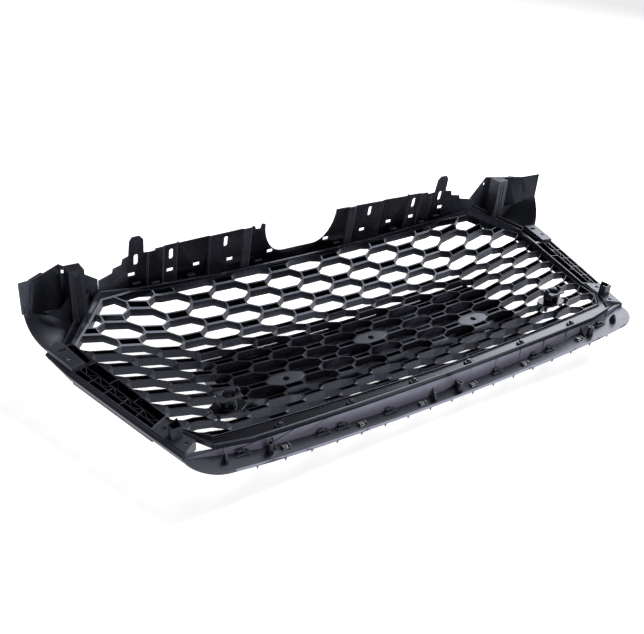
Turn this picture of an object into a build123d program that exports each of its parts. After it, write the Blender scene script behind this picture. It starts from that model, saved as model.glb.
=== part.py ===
from build123d import *
import math
import os

# ---------------------------------------------------------------------------
# Front grille lying on its front: +X across the car, +Y up the car, +Z rearward.
# All sizes in millimetres. The model is drawn from the lattice centre line and the
# rear edge of the honeycomb, and is moved at the end so that the origin is the
# middle of the base of its bounding box.
# ---------------------------------------------------------------------------

# honeycomb lattice
COLUMN_PITCH = 45.3
FAN_RATE = 6.47e-4
ROW_PITCH = 19.67
BLUNT_END = 9.0
CHANNEL_HEIGHT = 13.4
UPPER_WEB = 2.0
LOWER_WEB = 3.4
END_WEB = 2.2
WEB_DEPTH = 12.0
FRONT_SKIN = 2.0
SMALLEST_OPENING = 30.0

# curved face of the honeycomb: heights of the rear edges on the centre line
FACE_BOTTOM_Y = -113.0
FACE_BOTTOM_Z = 31.0
LOWER_CREASE_Y = -28.5
LOWER_CREASE_Z = 1.6
FACE_TOP_Y = 238.0
FACE_TOP_Z = 44.0
UPPER_CREASE_Y = FACE_TOP_Y - 90.0
UPPER_CREASE_Z = -4.8
SHOULDER_Y = FACE_TOP_Y - 42.0
SHOULDER_Z = 17.5
FACE_END_RUN = 30.0
TOP_EDGE_RISE = 2.0
CENTRE_CREASES = (92.0, 184.0)
FLAT_HALF_WIDTH = 267.0
FLAT_BOW = 8.3
SIDE_SLOPE = 0.237
BOTTOM_EDGE_BOW = 7.3e-5

# outline of the opening that the cells fill, widest at its middle corners
HALF_WIDTH = 430.0
LOW_CORNER = (HALF_WIDTH - 78.0, FACE_BOTTOM_Y + 9.0)
SIDE_LOW = (HALF_WIDTH - 57.0, FACE_BOTTOM_Y + 33.0)
MID_CORNER = (HALF_WIDTH, FACE_TOP_Y - 85.0)
TOP_CORNER = (HALF_WIDTH - 68.0, FACE_TOP_Y - 14.0)
TOP_BEND_X = TOP_CORNER[0] - 62.0
TOP_CROWN_X = 150.0
TOP_CROWN_RISE = 8.0
TOP_CENTRE_RISE = 11.0
BOTTOM_CENTRE_DIP = 1.0
MESH_RIM = 3.0

# number plate carrier
PANEL_HALF_WIDTH = 267.5
PANEL_LOW_Y = -33.0
PANEL_HIGH_Y = 111.0
PANEL_FRONT_Z = -27.0
PANEL_WALL = 3.0
PAD_COLUMN = 4
PAD_ROW = 0
MID_PAD_ROW = 2
PAD_BORE_RADIUS = 5.0
PAD_CLEARANCE = 0.3

# upper support panel
PANEL_Y = FACE_TOP_Y + 21.0
PANEL_BOW = 1.06e-4
PANEL_LEAN = 0.14
PANEL_DATUM_Z = 66.0
PANEL_BASE_Z = 36.0
PANEL_TOP_Z = 121.0
SHEET = 2.5
FOLD_X = TOP_CORNER[0] + 4.0
FOLD_Y = TOP_CORNER[1] + 4.0
PANEL_HALF_SPAN = FOLD_X - 54.0
CUTOUT_HALF_BOTTOM = 30.0
CUTOUT_HALF_TOP = 71.0
CUTOUT_FLOOR_Z = 62.0
CUTOUT_STEPS = 8
TAB_HALF_WIDTH = 12.5
TAB_CENTRE_X = PANEL_HALF_SPAN - TAB_HALF_WIDTH
TAB_TOP_Z = PANEL_TOP_Z + 29.0
TAB_CHAMFER = 7.0
CRENEL_X = (PANEL_HALF_SPAN - 85.0, PANEL_HALF_SPAN - 43.0)
SLOT_LENGTH = 18.4
SLOT_WIDTH = 6.8
WINDOW_WIDTH = 11.0
WINDOW_HEIGHT = 6.0

# bottom bar and lip strip
STRIP_LOW_Y = -154.0
STRIP_WALL_Y = -134.0
STRIP_FLOOR_Z = 4.5
STRIP_BOW = 1.77e-4
STRIP_EDGE_SWEEP = 7.4e-5
STRIP_SWEEP_END = 285.0
STRIP_HALF_LENGTH = SIDE_LOW[0] + 26.0
STRIP_END_RADIUS = 42.0
STRIP_STEPS = 8
STRIP_CORNER_SWEEP = 0.17
BAR_RIDGE_Y = -132.0
BAR_RIDGE_Z = 34.0
BAR_DEPTH = 8.0
BAR_STRAIGHT_X = LOW_CORNER[0] - 40.0
BAR_STRAIGHT_STEPS = 6
CORNER_BAR_WIDTH = 6.0
CORNER_BAR_REACH = 6.0
TOOTH_PITCH = 40.0
TOOTH_HEIGHT = 4.5
INNER_GUSSET_X = 22.0
OUTER_GUSSET_X = STRIP_HALF_LENGTH - 115.0
GUSSET_SIZE = 12.5
GUSSET_THICKNESS = 1.8

# small fixings on the lip strip and the bottom bar, as distances from the centre
TRIM_CLIP_X = [STRIP_HALF_LENGTH * share for share in (0.253, 0.451, 0.531, 0.822)]
SPRING_NUT_X = [STRIP_HALF_LENGTH * share for share in (0.12, 0.381, 0.679)]
NUT_CLEARANCE_RADIUS = 2.1
BOSS_X = STRIP_HALF_LENGTH - 105.0
CENTRE_BOSS_X = 20.0
FIN_X = STRIP_HALF_LENGTH - 46.0
CENTRE_FIN_X = -27.0
BAR_CLIP_X = [STRIP_HALF_LENGTH * share for share in (0.128, 0.396, 0.672)]
BOSS_RADIUS = 5.5
BOSS_HEIGHT = 15.0
BOSS_TAPER = 0.72
BOSS_BORE_SHARE = 0.45
FIN_HALF_WIDTH = 6.0
FIN_HEIGHT = 13.0
FIN_THICKNESS = 3.0
NUT_PLATE = (11.0, 8.0, 2.2)
NUT_COLLAR = (2.6, 3.4)
NUT_THREAD_RADIUS = 1.4
NUT_EAR = (1.2, 7.0, 4.4)

# side rails and corner blocks, set out from the lower and the middle corner of the honeycomb
RAIL_WALL = 2.5
RAIL_DEPTH = 20.0
RAIL_LOW_Y = SIDE_LOW[1] + 34.0
RAIL_HIGH_Y = MID_CORNER[1] - 53.0
RAIL_LOW_Z = 43.5
RAIL_HIGH_Z = 49.5
RAIL_OUTER_LOW = (SIDE_LOW[0] + 39.0, SIDE_LOW[1] + 18.0)
RAIL_OUTER_HIGH = (MID_CORNER[0] + 26.0, MID_CORNER[1] - 61.0)
RAIL_EDGE = 0.010
RAIL_RIB = 0.005
INNER_POCKETS = 3
INNER_CHANNEL = (0.06, 0.43)
OUTER_POCKETS = 5
TRUSS_CHANNEL = (0.48, 0.70)
OUTER_CHANNEL = (0.76, 0.95)
TRIM_WIDTH = 6.0
TRIM_DEPTH = 12.0
TRIM_END_SHARE = 0.5
TRIM_SKEW = 0.25
BLOCK_HEIGHT = 16.0
BLOCK_RISE = 5.0
BLOCK_BOLT_RADIUS = 3.0
BLOCK_FAR_INNER = (MID_CORNER[0] + 17.0, MID_CORNER[1] + 2.0)
BLOCK_FAR_OUTER = (MID_CORNER[0] + 40.0, MID_CORNER[1] - 4.0)
UPPER_BLOCK_BOLT = (MID_CORNER[0] + 22.0, MID_CORNER[1] - 39.0)
UPPER_BLOCK_WINDOW = (MID_CORNER[0] + 23.0, MID_CORNER[1] - 14.0)
BLOCK_WINDOW_SIZE = (10.0, 7.0)
LOWER_BLOCK_END = (SIDE_LOW[0] + 22.0, SIDE_LOW[1] - 39.0)
LOWER_BLOCK_BOLTS = [(SIDE_LOW[0] + 25.0, SIDE_LOW[1] + 14.0), (SIDE_LOW[0] + 13.0, SIDE_LOW[1] - 24.0)]
BOX_CLIP_PLACE = (SIDE_LOW[0] + 19.0, SIDE_LOW[1] - 6.0)
BOX_CLIP_HEIGHT = 16.0
BOX_CLIP_WIDTH = 14.0
BOX_CLIP_LENGTH = 12.0
CLIP_WALL = 1.8

# corner frames
CORNER_TOP_Z = 83.0
FRAME_DEPTH = 12.0
FRAME_LIP = 1.5
FRAME_WALL_SHARE = 0.18
FRAME_TOP_OUTER = (TOP_CORNER[0] + 13.0, TOP_CORNER[1] + 12.0)

# wings: their back wall's plan points, set out from the middle corner, with its top and foot there,
# then the middle and lower points of the curved skin as offsets from the middle corner
FOLD_TOP_Z = 99.0
FOLD_BASE_Z = 68.0
WING_PLAN = [(MID_CORNER[0] + dx, MID_CORNER[1] + dy)
             for dx, dy in ((-15.0, 90.0), (14.0, 61.0), (35.0, 47.0), (57.0, 25.0))]
WING_TOPS = [128.0, 134.0, 135.6, 146.0]
WING_BASES = [60.0, 68.0, 83.0, 101.0]
WING_MIDDLES = [(-8.0, 55.0, 55.0), (13.0, 37.0, 56.0), (33.0, 27.0, 64.0), (53.0, 10.0, 76.0)]
WING_FEET = [(18.0, 7.0, 42.0), (22.0, 14.0, 45.0), (31.0, 5.0, 49.0), (40.0, -4.0, 54.7)]
WING_RIBS = (0.30, 0.42)
WING_RIB_LEAN = 0.28
LOOP_HEIGHT = 6.0
LOOP_DEPTH = 7.0
RIB_THICKNESS = 1.2
RIB_PROUD = 3.0

# headlamp posts
POST_X = MID_CORNER[0] - 23.0
POST_Y = MID_CORNER[1] + 49.0
POST_WIDTH = 22.0
POST_DEPTH = 23.0
POST_BASE_Z = 55.0
POST_TOP_Z = 140.0
POST_HOLE_RADIUS = 1.6
POST_HOLE_SPACING = 8.0
POST_CAP = 4.0
POST_GROOVES = (-3.5, 2.5)
POST_GROOVE_WIDTH = 1.6
POST_WEB = [(-0.5, 60.0), (-0.5, 97.0), (14.0, 81.0), (36.0, 83.0), (12.0, 62.0)]

# upper support panel details, as shares of its half span: with their steps, or with their heights
CORRUGATIONS = [(0.311, -2.5), (0.359, 0.0), (0.5545, 2.5), (0.737, 0.0), (0.814, -2.0), (0.9006, 0.0)]
SLOT_PLACES = [(0.4615, 104.6), (0.7724, 105.0), (0.9615, 110.0)]
WINDOW_PLACES = [(0.1814, 66.0), (0.4295, 68.6), (0.6218, 73.0), (0.7756, 76.0), (0.984, 85.0)]
HOOK_PLACES = [0.2564, 0.657, 0.859, 0.9615]
HOOK_SIZE = (13.0, 9.0, 1.6)
HOOK_CLEARANCE = 9.0
HORN_WIDTH = 15.0

# parking sensor holders
SENSOR_X = LOW_CORNER[0] - 50.0
SENSOR_Y = -52.0
SENSOR_RADIUS = 9.0
SENSOR_HEIGHT = 18.0
SENSOR_BASE = [(24.0, 8.0), (12.0, 15.0)]
SENSOR_FEET = (18.0, 8.0)
SENSOR_FOOT_SIZE = (4.0, 4.0, 10.0)
RETAINER_PLATE = 3.0
RETAINER_LEG = (2.5, 10.0, 11.0)
RETAINER_EAR = (2.5, 7.0, 6.0)

# cutters run this far past what they cut, upright ones from below to above everything
NUDGE = 1.0
BELOW_ALL = PANEL_FRONT_Z - 20.0
ABOVE_ALL = TAB_TOP_Z + 30.0
ARC_STEPS = 8

# half length and half height of a cell
CELL_OVERLAP = 7.0
CELL_REACH = COLUMN_PITCH / 2 + CELL_OVERLAP
CELL_HEIGHT = 2 * ROW_PITCH - CHANNEL_HEIGHT


# ---------------------------------------------------------------------------
# small modelling helpers
# ---------------------------------------------------------------------------

def prism(outline, z_low, z_high):
    """Upright prism over a plan outline of (x, y) points."""
    face = Face(Wire.make_polygon([(x, y, z_low) for x, y in outline]))
    return Solid.extrude(face, Vector(0, 0, z_high - z_low))


def side_prism(outline, x_low, x_high):
    """Prism along X over an outline of (y, z) points."""
    face = Face(Wire.make_polygon([(x_low, y, z) for y, z in outline]))
    return Solid.extrude(face, Vector(x_high - x_low, 0, 0))


def wall_prism(outline, y_low, y_high):
    """Prism along Y over an outline of (x, z) points."""
    face = Face(Wire.make_polygon([(x, y_low, z) for x, z in outline]))
    return Solid.extrude(face, Vector(0, y_high - y_low, 0))


def post(x, y, radius, z_low, z_high):
    """Upright round bar."""
    return Solid.make_cylinder(radius, z_high - z_low, Plane((x, y, z_low)))


def patch(a, b, c, d):
    """Faces of the four-cornered patch a, b, c, d: one if it is flat, else two triangles."""
    normal = (Vector(*b) - Vector(*a)).cross(Vector(*c) - Vector(*a))
    off_plane = abs(normal.normalized().dot(Vector(*d) - Vector(*a)))
    if off_plane < 1e-6:
        return [Face(Wire.make_polygon([a, b, c, d]))]
    return [Face(Wire.make_polygon([a, b, c])), Face(Wire.make_polygon([a, c, d]))]


def grid_solid(upper, lower):
    """Closed solid between two grids of points that have the same rows and columns."""
    rows = len(upper)
    columns = len(upper[0])
    faces = []
    for grid in (upper, lower):
        for i in range(rows - 1):
            for j in range(columns - 1):
                faces += patch(grid[i][j], grid[i + 1][j], grid[i + 1][j + 1], grid[i][j + 1])
    for j in range(columns - 1):
        for i in (0, rows - 1):
            faces += patch(upper[i][j], upper[i][j + 1], lower[i][j + 1], lower[i][j])
    for i in range(rows - 1):
        for j in (0, columns - 1):
            faces += patch(upper[i][j], upper[i + 1][j], lower[i + 1][j], lower[i][j])
    solid = Solid(Shell(faces))
    return solid if solid.volume > 0 else Solid(Shell([-face for face in faces]))


def run_of_sections(sections):
    """Solid through flat sections that share their number of points, joined by straight rulings."""
    count = len(sections[0])
    faces = [Face(Wire.make_polygon(sections[0])), Face(Wire.make_polygon(sections[-1]))]
    for one, two in zip(sections, sections[1:]):
        for i in range(count):
            j = (i + 1) % count
            faces += patch(one[i], one[j], two[j], two[i])
    solid = Solid(Shell(faces))
    return solid if solid.volume > 0 else Solid(Shell([-face for face in faces]))


def mirrored(shape):
    """The same shape on the other side of the car's centre plane."""
    return mirror(shape, about=Plane.YZ)


def clip_to_outline(polygon, outline):
    """Part of a convex polygon that lies inside a convex outline given anticlockwise."""
    kept = polygon
    for (ax, ay), (bx, by) in zip(outline, outline[1:] + outline[:1]):
        def inside(p):
            return (bx - ax) * (p[1] - ay) - (by - ay) * (p[0] - ax)
        result = []
        for p, q in zip(kept, kept[1:] + kept[:1]):
            side_p = inside(p)
            side_q = inside(q)
            if side_p >= 0:
                result.append(p)
            if side_p * side_q < 0:
                share = side_p / (side_p - side_q)
                result.append((p[0] + share * (q[0] - p[0]), p[1] + share * (q[1] - p[1])))
        kept = result
        if len(kept) < 3:
            return []
    return kept


def area(polygon):
    """Area of a polygon of (x, y) points."""
    total = 0.0
    for (ax, ay), (bx, by) in zip(polygon, polygon[1:] + polygon[:1]):
        total += ax * by - bx * ay
    return abs(total) / 2


# ---------------------------------------------------------------------------
# the curved face
# ---------------------------------------------------------------------------

def side_bow(x):
    """How far the face stands back from its centre line at x."""
    x = abs(x)
    if x <= FLAT_HALF_WIDTH:
        return FLAT_BOW * (x / FLAT_HALF_WIDTH) ** 2
    return FLAT_BOW + SIDE_SLOPE * (x - FLAT_HALF_WIDTH)


def flange_y(x):
    """Inner face of the upper support panel, at the datum height."""
    x = abs(x)
    if x <= PANEL_HALF_SPAN:
        return PANEL_Y - PANEL_BOW * x * x
    edge_y = PANEL_Y - PANEL_BOW * PANEL_HALF_SPAN ** 2
    return edge_y + (FOLD_Y - edge_y) * (x - PANEL_HALF_SPAN) / (FOLD_X - PANEL_HALF_SPAN)


def face_line(x, drop=0.0):
    """Points (x, y, z) of the honeycomb's rear edges from the bottom to the top at x."""
    bow = side_bow(x)
    return [
        (x, FACE_BOTTOM_Y - FACE_END_RUN, FACE_BOTTOM_Z + BOTTOM_EDGE_BOW * x * x - drop),
        (x, FACE_BOTTOM_Y, FACE_BOTTOM_Z + BOTTOM_EDGE_BOW * x * x - drop),
        (x, LOWER_CREASE_Y, LOWER_CREASE_Z + bow - drop),
        (x, UPPER_CREASE_Y, UPPER_CREASE_Z + bow - drop),
        (x, SHOULDER_Y, SHOULDER_Z + bow - drop),
        (x, FACE_TOP_Y, FACE_TOP_Z + bow - drop),
        (x, FACE_TOP_Y + FACE_END_RUN, FACE_TOP_Z + TOP_EDGE_RISE + bow - drop),
    ]


def face_stations():
    """Widths at which the curved face is creased."""
    half = [0.0, *CENTRE_CREASES, FLAT_HALF_WIDTH, LOW_CORNER[0], HALF_WIDTH + FACE_END_RUN]
    return [-x for x in reversed(half[1:])] + half


def face_slab(upper_drop, lower_drop):
    """Slab that follows the curved face between two distances in front of the rear edges."""
    xs = face_stations()
    return grid_solid([face_line(x, upper_drop) for x in xs], [face_line(x, lower_drop) for x in xs])


def space_below_face(z_floor):
    """Everything in front of the honeycomb, down to a flat floor."""
    xs = face_stations()
    upper = [face_line(x, WEB_DEPTH) for x in xs]
    return grid_solid(upper, [[(x, y, z_floor) for x, y, z in line] for line in upper])


def mesh_outline(grow=0.0):
    """Anticlockwise outline of the honeycomb, grown outwards by a rim."""
    right = [
        (LOW_CORNER[0] + grow * 0.4, LOW_CORNER[1] - grow),
        (SIDE_LOW[0] + grow, SIDE_LOW[1] - grow * 0.3),
        (MID_CORNER[0] + grow, MID_CORNER[1] + grow * 0.3),
        (TOP_CORNER[0] + grow * 0.7, TOP_CORNER[1] + grow * 0.7),
        (TOP_BEND_X, FACE_TOP_Y + grow),
        (TOP_CROWN_X, FACE_TOP_Y + TOP_CROWN_RISE + grow),
    ]
    bottom = [(0.0, FACE_BOTTOM_Y + BOTTOM_CENTRE_DIP - grow)]
    top = [(0.0, FACE_TOP_Y + TOP_CENTRE_RISE + grow)]
    left = [(-x, y) for x, y in reversed(right)]
    return bottom + right + top + left


def fanned(x, y):
    """Plan point of the lattice, whose columns spread apart towards the top."""
    return (x * (1.0 + FAN_RATE * y), y)


def cell_outline(column, row):
    """Blunt-ended hexagonal opening of one cell."""
    half_height = CELL_HEIGHT / 2
    half_end = BLUNT_END / 2
    flat = COLUMN_PITCH - CELL_REACH
    cx = column * COLUMN_PITCH
    cy = row * ROW_PITCH
    corners = [(CELL_REACH, -half_end), (CELL_REACH, half_end), (flat, half_height), (-flat, half_height),
               (-CELL_REACH, half_end), (-CELL_REACH, -half_end), (-flat, -half_height), (flat, -half_height)]
    return [fanned(cx + x, cy + y) for x, y in corners]


def channel_outline(column, row):
    """Rear pocket between two cells of one column."""
    half_height = CHANNEL_HEIGHT / 2
    reach = COLUMN_PITCH - CELL_REACH - END_WEB
    cx = column * COLUMN_PITCH
    cy = row * ROW_PITCH
    low = cy - half_height + LOWER_WEB
    high = cy + half_height - UPPER_WEB
    return [fanned(x, y) for x, y in
            ((cx + reach, low), (cx + reach, high), (cx - reach, high), (cx - reach, low))]


def lattice_places(parity):
    """Columns and rows whose sum is even (cells) or odd (channels)."""
    places = []
    columns = math.ceil(HALF_WIDTH / COLUMN_PITCH)
    first_row = math.floor(FACE_BOTTOM_Y / ROW_PITCH)
    last_row = math.ceil((FACE_TOP_Y + TOP_CENTRE_RISE) / ROW_PITCH)
    for column in range(-columns, columns + 1):
        for row in range(first_row, last_row + 1):
            if (column + row) % 2 == parity:
                places.append((column, row))
    return places


# ---------------------------------------------------------------------------
# sub-parts
# ---------------------------------------------------------------------------

def honeycomb_mesh():
    """Curved lattice: through cells, and pockets that are closed by a front skin."""
    inner = mesh_outline()
    cells = [clip_to_outline(cell_outline(c, r), inner) for c, r in lattice_places(0)]
    pockets = [clip_to_outline(channel_outline(c, r), inner) for c, r in lattice_places(1)]
    cells = [p for p in cells if p and area(p) > SMALLEST_OPENING]
    pockets = [p for p in pockets if p and area(p) > SMALLEST_OPENING]

    def lattice(openings):
        outer = Wire.make_polygon([(x, y, BELOW_ALL) for x, y in mesh_outline(MESH_RIM)])
        holes = [Wire.make_polygon([(x, y, BELOW_ALL) for x, y in p]) for p in openings]
        return Solid.extrude(Face(outer, holes), Vector(0, 0, ABOVE_ALL - BELOW_ALL))

    webs = lattice(cells + pockets) & face_slab(0.0, WEB_DEPTH - FRONT_SKIN)
    skin = lattice(cells) & face_slab(WEB_DEPTH - FRONT_SKIN, WEB_DEPTH)
    return webs + skin


def height_on_face(x, y):
    """Height of the honeycomb's rear edges at (x, y)."""
    xs = face_stations()
    for x_a, x_b in zip(xs, xs[1:]):
        if x_a <= x <= x_b:
            share = (x - x_a) / (x_b - x_a)
            line = [(p[1], p[2] + share * (q[2] - p[2])) for p, q in zip(face_line(x_a), face_line(x_b))]
            for (y_a, z_a), (y_b, z_b) in zip(line, line[1:]):
                if y_a <= y <= y_b:
                    return z_a + (z_b - z_a) * (y - y_a) / (y_b - y_a)
    raise ValueError("point is off the face")


def pad_places():
    """Centres of the three number plate fixing pads."""
    x, y = fanned(PAD_COLUMN * COLUMN_PITCH, PAD_ROW * ROW_PITCH)
    return [(-x, y), (0.0, MID_PAD_ROW * ROW_PITCH), (x, y)]


def plate_carrier_panel():
    """Closed panel in front of the honeycomb, with a rim that reaches the lattice."""
    half = PANEL_HALF_WIDTH
    low = PANEL_LOW_Y
    high = PANEL_HIGH_Y
    outline = [(-half, low), (half, low), (half, high), (-half, high)]
    inner = [(-half + PANEL_WALL, low + PANEL_WALL), (half - PANEL_WALL, low + PANEL_WALL),
             (half - PANEL_WALL, high - PANEL_WALL), (-half + PANEL_WALL, high - PANEL_WALL)]
    tall = prism(outline, PANEL_FRONT_Z, PANEL_TOP_Z) & space_below_face(PANEL_FRONT_Z)
    shell = tall - prism(inner, PANEL_FRONT_Z + PANEL_WALL, PANEL_TOP_Z)
    for x, y in pad_places():
        shell -= post(x, y, PAD_BORE_RADIUS, PANEL_FRONT_Z - NUDGE, PANEL_TOP_Z)
    return shell


def plate_fixing_pad(column, row):
    """Hexagonal pad that stands on the carrier panel and fills one cell, with a bore."""
    cx, cy = fanned(column * COLUMN_PITCH, row * ROW_PITCH)
    opening = cell_outline(column, row)
    shrink = [1 - PAD_CLEARANCE / CELL_REACH, 1 - PAD_CLEARANCE / (CELL_HEIGHT / 2)]
    outline = [(cx + (x - cx) * shrink[0], cy + (y - cy) * shrink[1]) for x, y in opening]
    top = height_on_face(cx, cy)
    block = prism(outline, PANEL_FRONT_Z + PANEL_WALL, top)
    return block - post(cx, cy, PAD_BORE_RADIUS, PANEL_FRONT_Z, top + NUDGE)


def bar_height(x):
    """Height of the ridge along the bottom bar."""
    return BAR_RIDGE_Z + BOTTOM_EDGE_BOW * x * x


def bar_stations():
    """Inner and outer plan points and ridge height along the right half of the bottom bar."""
    edge = mesh_outline(MESH_RIM)
    stations = []
    for step in range(BAR_STRAIGHT_STEPS + 1):
        x = BAR_STRAIGHT_X * step / BAR_STRAIGHT_STEPS
        share = x / edge[1][0]
        inner = (x, edge[0][1] + share * (edge[1][1] - edge[0][1]))
        stations.append((inner, (x, BAR_RIDGE_Y), bar_height(x)))
    ix, iy = edge[1]
    corner_x = ix + CORNER_BAR_REACH
    stations.append(((ix, iy), (corner_x, BAR_RIDGE_Y + corner_sweep(corner_x)), bar_height(ix)))
    jx, jy = edge[2]
    mx, my = (ix + jx) / 2, (iy + jy) / 2
    spread = CORNER_BAR_WIDTH * 1.3
    stations.append(((mx, my), (mx + spread, my - spread), bar_height(mx)))
    stations.append(((jx, jy), (jx + CORNER_BAR_WIDTH, jy - 2.5), bar_height(jx)))
    inner_low, outer_low = rail_end_low()
    share = CORNER_BAR_WIDTH / (outer_low[0] - inner_low[0])
    outer = (inner_low[0] + CORNER_BAR_WIDTH, inner_low[1] + share * (outer_low[1] - inner_low[1]))
    stations.append((inner_low, outer, RAIL_LOW_Z))
    return stations


def bar_section(inner, outer, ridge_z):
    """Cross-section of the bottom bar: two ridges with a groove between them."""
    width = math.hypot(outer[0] - inner[0], outer[1] - inner[1])
    land = min(2.0, width * 0.3)
    profile = [(0.0, ridge_z - 2.5), (land * 0.5, ridge_z - 0.5), (land, ridge_z - 0.5),
               (land * 1.2, ridge_z - 3.5), (width - land * 1.4, ridge_z - 3.5), (width - land, ridge_z),
               (width, ridge_z - 0.6), (width, ridge_z - BAR_DEPTH), (0.0, ridge_z - 3.0 - WEB_DEPTH)]
    ux = (outer[0] - inner[0]) / width
    uy = (outer[1] - inner[1]) / width
    return [(inner[0] + ux * u, inner[1] + uy * u, z) for u, z in profile]


def bottom_bar():
    """Bar under the honeycomb that turns up at both lower corners."""
    right = [bar_section(*station) for station in bar_stations()]
    left = [[(-x, y, z) for x, y, z in section] for section in reversed(right[1:])]
    return run_of_sections(left + right)


def strip_height(x):
    """Height of the lip strip's floor."""
    return STRIP_FLOOR_Z + STRIP_BOW * x * x


def strip_stations():
    """Widths at which the lip strip is creased."""
    return [STRIP_HALF_LENGTH * i / STRIP_STEPS for i in range(-STRIP_STEPS, STRIP_STEPS + 1)]


def corner_sweep(x):
    """How far the bar's outer edge and the strip's wall have turned towards the corner at x."""
    return STRIP_CORNER_SWEEP * max(0.0, abs(x) - BAR_STRAIGHT_X)


def wall_foot_y(x):
    """Foot of the upright wall of the lip strip."""
    return STRIP_WALL_Y + corner_sweep(x)


def strip_edge_y(x):
    """Outer edge of the lip strip's floor."""
    return STRIP_LOW_Y - STRIP_EDGE_SWEEP * min(abs(x), STRIP_SWEEP_END) ** 2


def strip_section(x):
    """Cross-section of the lip strip: edge lip, floor and upright wall."""
    z = strip_height(x)
    foot = wall_foot_y(x)
    low = strip_edge_y(x)
    wall_top = bar_height(x) - BAR_DEPTH
    head = BAR_RIDGE_Y + corner_sweep(x)
    points = [(low, z - SHEET), (low, z + 2.0), (low + 1.6, z + 2.0), (low + 1.6, z), (foot, z),
              (head, wall_top), (head + SHEET, wall_top), (foot + SHEET, z - SHEET)]
    return [(x, y, height) for y, height in points]


def nut_y(x):
    """Line of the nuts, bosses and fins, midway between the strip's edge and its wall."""
    return (STRIP_LOW_Y + wall_foot_y(x)) / 2


def strip_gusset(x):
    """Triangular web between the floor and the wall of the lip strip."""
    z = strip_height(x)
    back = wall_foot_y(x) + 0.5
    web = [(back - GUSSET_SIZE, z - 0.5), (back, z - 0.5), (back, z + GUSSET_SIZE)]
    return side_prism(web, x - GUSSET_THICKNESS / 2, x + GUSSET_THICKNESS / 2)


def lip_strip():
    """Lower strip with an upright wall, rounded ends, gussets and a row of teeth."""
    strip = run_of_sections([strip_section(x) for x in strip_stations()])
    corner = STRIP_HALF_LENGTH - STRIP_END_RADIUS
    edge_y = strip_edge_y(corner)
    for side in (-1, 1):
        x = side * corner
        reach = side * 2 * STRIP_END_RADIUS
        square = prism([(x, edge_y - NUDGE), (x + reach, edge_y - NUDGE),
                        (x + reach, edge_y + STRIP_END_RADIUS), (x, edge_y + STRIP_END_RADIUS)],
                       BELOW_ALL, ABOVE_ALL)
        round_end = post(x, edge_y + STRIP_END_RADIUS, STRIP_END_RADIUS, BELOW_ALL, ABOVE_ALL)
        strip = strip - (square - round_end)
        strip += strip_gusset(side * OUTER_GUSSET_X)
        strip += strip_gusset(side * INNER_GUSSET_X)
    teeth = int(corner / TOOTH_PITCH)
    for i in range(-teeth, teeth + 1):
        x = i * TOOTH_PITCH
        z = strip_height(x) - SHEET
        y = strip_edge_y(x)
        strip += wall_prism([(x - 2.0, z + 1.0), (x + 2.0, z + 1.0), (x, z - TOOTH_HEIGHT)], y, y + 2.0)
    for x in SPRING_NUT_X:
        for side in (-1, 1):
            strip -= post(side * x, nut_y(x), NUT_CLEARANCE_RADIUS, BELOW_ALL, ABOVE_ALL)
    return strip


def outline_x(y):
    """Outer edge of the honeycomb between its lower and middle corners."""
    (ax, ay), (bx, by) = mesh_outline(MESH_RIM)[2:4]
    return ax + (bx - ax) * (y - ay) / (by - ay)


def rail_end_low():
    """Plan points of the rail's lower end."""
    return (outline_x(RAIL_LOW_Y), RAIL_LOW_Y), RAIL_OUTER_LOW


def rail_end_high():
    """Plan points of the rail's upper end."""
    return (outline_x(RAIL_HIGH_Y), RAIL_HIGH_Y), RAIL_OUTER_HIGH


def rail_point(along, across):
    """Plan point of the right rail: along runs up it, across runs outwards."""
    low_in, low_out = rail_end_low()
    high_in, high_out = rail_end_high()
    low = [a + across * (b - a) for a, b in zip(low_in, low_out)]
    high = [a + across * (b - a) for a, b in zip(high_in, high_out)]
    return tuple(a + along * (b - a) for a, b in zip(low, high))


def rail_slab(lower_drop, upper_drop=0.0):
    """Sloping slab that gives the rails and blocks their rear and front faces."""
    y_a = FACE_BOTTOM_Y - FACE_END_RUN
    y_b = FACE_TOP_Y + FACE_END_RUN
    z_a = rail_top(y_a)
    z_b = rail_top(y_b)
    return side_prism([(y_a, z_a - lower_drop), (y_b, z_b - lower_drop),
                       (y_b, z_b - upper_drop), (y_a, z_a - upper_drop)], 0.0, 2 * HALF_WIDTH)


def rail_pockets():
    """Plan outlines of the pockets between the rail's ribs."""
    rib = RAIL_RIB
    pockets = []
    for a, b in bays(INNER_POCKETS):
        pockets.append(bay_outline(a, b, INNER_CHANNEL))
    near, far = TRUSS_CHANNEL
    for a, b in bays(OUTER_POCKETS):
        middle = (a + b) / 2
        pockets.append(bay_outline(a, b, OUTER_CHANNEL))
        for corners in (
            ((a + rib, near), (a + rib, far), (middle - 2 * rib, far)),
            ((a + 3 * rib, near), (middle, far - rib), (b - 3 * rib, near)),
            ((middle + 2 * rib, far), (b - rib, far), (b - rib, near)),
        ):
            pockets.append([rail_point(*corner) for corner in corners])
    return pockets


def bays(count):
    """Equal lengths of the rail between its two end walls, as shares of it."""
    length = 1 - 2 * RAIL_EDGE
    return [(RAIL_EDGE + length * i / count, RAIL_EDGE + length * (i + 1) / count) for i in range(count)]


def bay_outline(a, b, channel):
    """Four-cornered pocket of one bay across a channel of the rail."""
    near, far = channel
    start = a + RAIL_RIB
    end = b - RAIL_RIB
    return [rail_point(start, near), rail_point(start, far), rail_point(end, far), rail_point(end, near)]


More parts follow.
